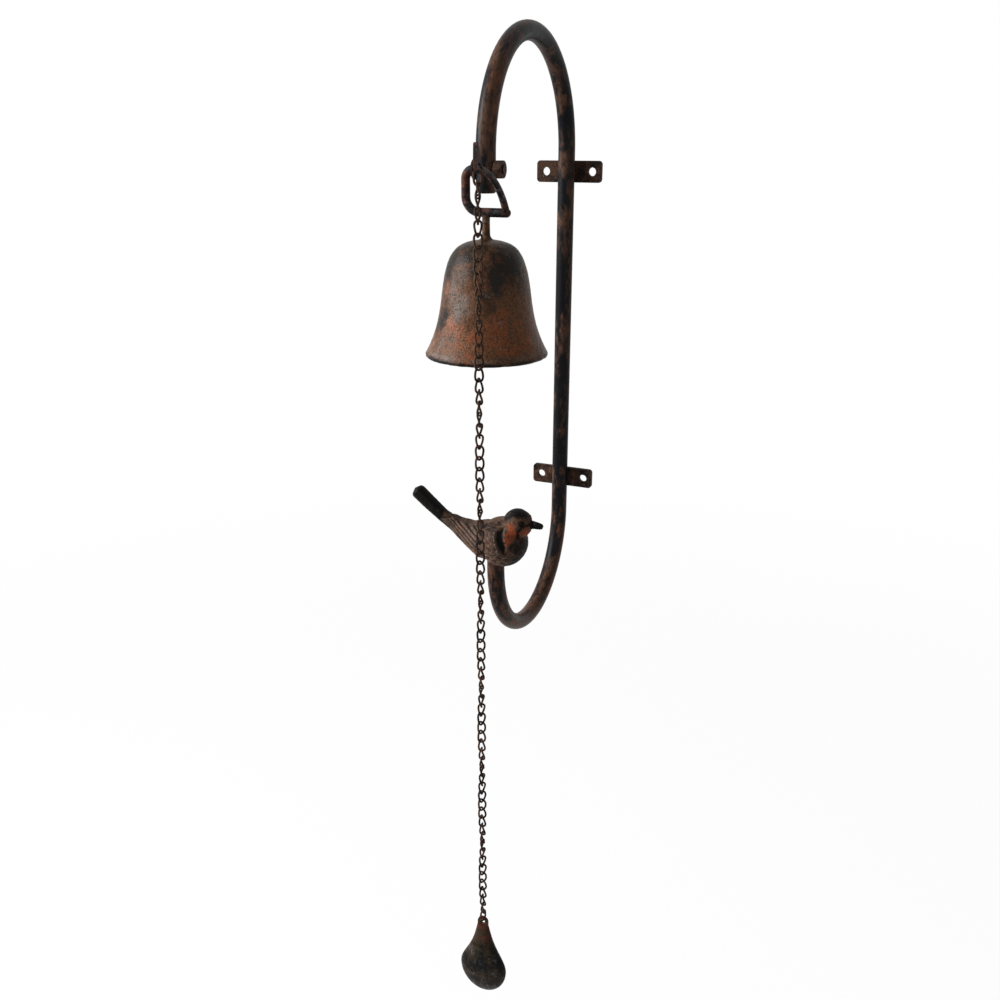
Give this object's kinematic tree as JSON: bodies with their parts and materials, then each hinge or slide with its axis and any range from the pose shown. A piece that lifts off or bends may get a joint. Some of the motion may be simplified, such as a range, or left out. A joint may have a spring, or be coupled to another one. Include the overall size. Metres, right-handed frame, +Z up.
{
  "type": "wall bell",
  "caption": "Hooked wall bracket with a swinging iron bell, a perched bird and a twisted-link chain that pulls the bell's lever, with a pear-shaped drop as its handle.",
  "frame": {"origin": "middle of the four screw holes, in the plane of the wall", "axes": "+X to the right along the wall, +Y into the wall, +Z up"},
  "size_m": [0.1009, 0.2004, 0.6684],
  "materials": {
    "bracket_paint": "dark brown-black paint rubbed with rust brown",
    "bird_iron": "dark brown cast iron with rust-orange feathers",
    "yoke_paint": "dark paint with red-brown rust",
    "fastener_steel": "dark brown",
    "bell_iron": "pitted dark iron mottled with rust and grey wear",
    "inner_iron": "dark iron",
    "chain_wire": "dark wire",
    "drop_iron": "dark iron with olive grey wear"
  },
  "bodies": {
    "bracket": {"bracket_rod": "bracket_paint", "upper_strap": "bracket_paint", "lower_strap": "bracket_paint", "bird": "bird_iron"},
    "bell": {"yoke": "yoke_paint", "pivot_washer": "fastener_steel", "pivot_nut": "fastener_steel", "bell": "bell_iron", "clapper_staple": "inner_iron"},
    "clapper": {"clapper": "inner_iron"},
    "first_link": {"chain_first_link": "chain_wire"},
    "second_link": {"chain_second_link": "chain_wire"},
    "run_1": {"chain_run_1": "chain_wire"},
    "run_2": {"chain_run_2": "chain_wire"},
    "run_3": {"chain_run_3": "chain_wire"},
    "run_4": {"chain_run_4": "chain_wire"},
    "run_5": {"chain_run_5": "chain_wire"},
    "run_6": {"chain_run_6": "chain_wire"},
    "run_7": {"chain_run_7": "chain_wire"},
    "run_8": {"chain_run_8": "chain_wire"},
    "run_9": {"chain_run_9": "chain_wire", "chain_last_link": "chain_wire"},
    "drop": {"drop": "drop_iron"}
  },
  "joints": [
    {"name": "bell_swing", "type": "hinge", "parent": "bracket", "child": "bell", "pos_m": [0, -0.1525, 0.1215], "axis": [1, 0, 0], "range_deg": [0, 50]},
    {"name": "clapper_swing", "type": "hinge", "parent": "bell", "child": "clapper", "pos_m": [0, -0.1525, 0.07], "axis": [1, 0, 0], "range_deg": [-20, 20]},
    {"name": "first_link_turn", "type": "hinge", "parent": "bell", "child": "first_link", "pos_m": [0.0132, -0.194, 0.123], "axis": [1, 0, 0], "range_deg": [-50, 0]},
    {"name": "second_link_sway", "type": "hinge", "parent": "first_link", "child": "second_link", "pos_m": [0.0132, -0.194, 0.11525], "axis": [0, 1, 0], "range_deg": [-20, 20]},
    {"name": "run_1_swing", "type": "hinge", "parent": "second_link", "child": "run_1", "pos_m": [0.0132, -0.194, 0.10835], "axis": [1, 0, 0], "range_deg": [-25, 0]},
    {"name": "run_2_sway", "type": "hinge", "parent": "run_1", "child": "run_2", "pos_m": [0.0132, -0.194, 0.05315], "axis": [0, 1, 0], "range_deg": [-20, 20]},
    {"name": "run_3_swing", "type": "hinge", "parent": "run_2", "child": "run_3", "pos_m": [0.0132, -0.194, -0.00205], "axis": [1, 0, 0], "range_deg": [-25, 8]},
    {"name": "run_4_sway", "type": "hinge", "parent": "run_3", "child": "run_4", "pos_m": [0.0132, -0.194, -0.05725], "axis": [0, 1, 0], "range_deg": [-20, 20]},
    {"name": "run_5_swing", "type": "hinge", "parent": "run_4", "child": "run_5", "pos_m": [0.0132, -0.194, -0.11245], "axis": [1, 0, 0], "range_deg": [-25, 8]},
    {"name": "run_6_sway", "type": "hinge", "parent": "run_5", "child": "run_6", "pos_m": [0.0132, -0.194, -0.16765], "axis": [0, 1, 0], "range_deg": [-20, 20]},
    {"name": "run_7_swing", "type": "hinge", "parent": "run_6", "child": "run_7", "pos_m": [0.0132, -0.194, -0.22285], "axis": [1, 0, 0], "range_deg": [-25, 8]},
    {"name": "run_8_sway", "type": "hinge", "parent": "run_7", "child": "run_8", "pos_m": [0.0132, -0.194, -0.27805], "axis": [0, 1, 0], "range_deg": [-20, 20]},
    {"name": "run_9_swing", "type": "hinge", "parent": "run_8", "child": "run_9", "pos_m": [0.0132, -0.194, -0.33325], "axis": [1, 0, 0], "range_deg": [-25, 8]},
    {"name": "drop_swing", "type": "hinge", "parent": "run_9", "child": "drop", "pos_m": [0.0132, -0.194, -0.3962], "axis": [0, 1, 0], "range_deg": [-35, 35]}
  ],
  "couplings": [
    {"joint": "first_link_turn", "follows": "bell_swing", "ratio": -1}
  ]
}
